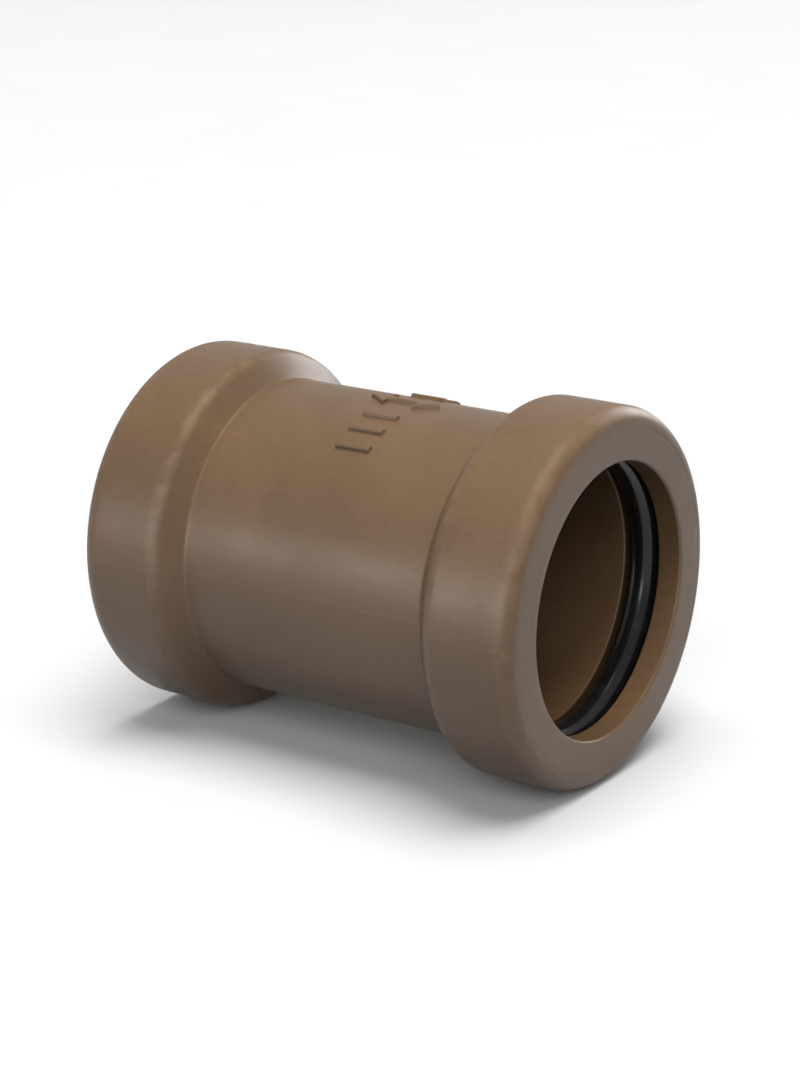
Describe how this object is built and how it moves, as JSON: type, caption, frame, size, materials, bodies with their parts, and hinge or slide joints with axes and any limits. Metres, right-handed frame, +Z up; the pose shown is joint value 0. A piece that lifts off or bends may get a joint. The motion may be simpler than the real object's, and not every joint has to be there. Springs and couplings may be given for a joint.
{
  "type": "push fit coupling",
  "caption": "Straight push-fit pipe coupling: a plastic sleeve with an enlarged head and a trapped rubber seal at each end and a stop ridge inside.",
  "frame": {"origin": "on the axis of the bore, at mid-length, in the middle of the stop ridge", "axes": "+X along the bore, out of the front socket; +Z up, through the middle of the raised mark on the waist"},
  "size_m": [0.0654, 0.0485, 0.0484],
  "materials": {
    "body_plastic": "satin brown moulded polypropylene",
    "seal_rubber": "glossy black lubricated rubber"
  },
  "bodies": {
    "root": {"coupling_body": "body_plastic", "retaining_ring_front": "body_plastic", "retaining_ring_rear": "body_plastic", "seal_ring_front": "seal_rubber", "seal_ring_rear": "seal_rubber"}
  },
  "joints": []
}
